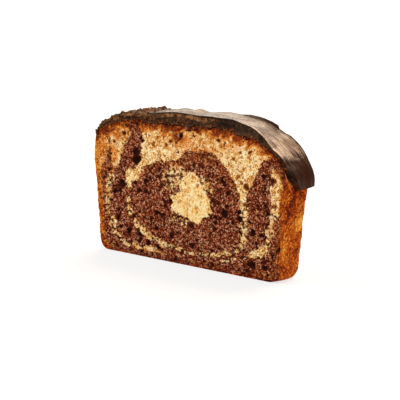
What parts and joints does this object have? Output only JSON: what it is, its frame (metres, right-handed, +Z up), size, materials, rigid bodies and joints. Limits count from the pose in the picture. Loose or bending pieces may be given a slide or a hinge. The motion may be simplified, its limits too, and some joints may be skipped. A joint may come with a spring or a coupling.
{
  "type": "marble loaf cake slice",
  "caption": "Cut slice of marble loaf cake with chocolate icing, standing on its baked base; food item.",
  "frame": {"origin": "middle of the slice's footprint, on the surface that it stands on", "axes": "+X across the loaf, longest extent; +Y along the loaf, through the slice's thickness, with the cut face that shows turned towards -Y; +Z up"},
  "size_m": [0.1186, 0.016, 0.0708],
  "materials": {
    "sponge": "open marbled cake crumb, cream and chocolate, with an orange-brown baked crust",
    "icing": "set dark chocolate icing, glossy on top and matt where it is cut"
  },
  "bodies": {
    "root": {"sponge": "sponge", "icing": "icing"}
  },
  "joints": []
}
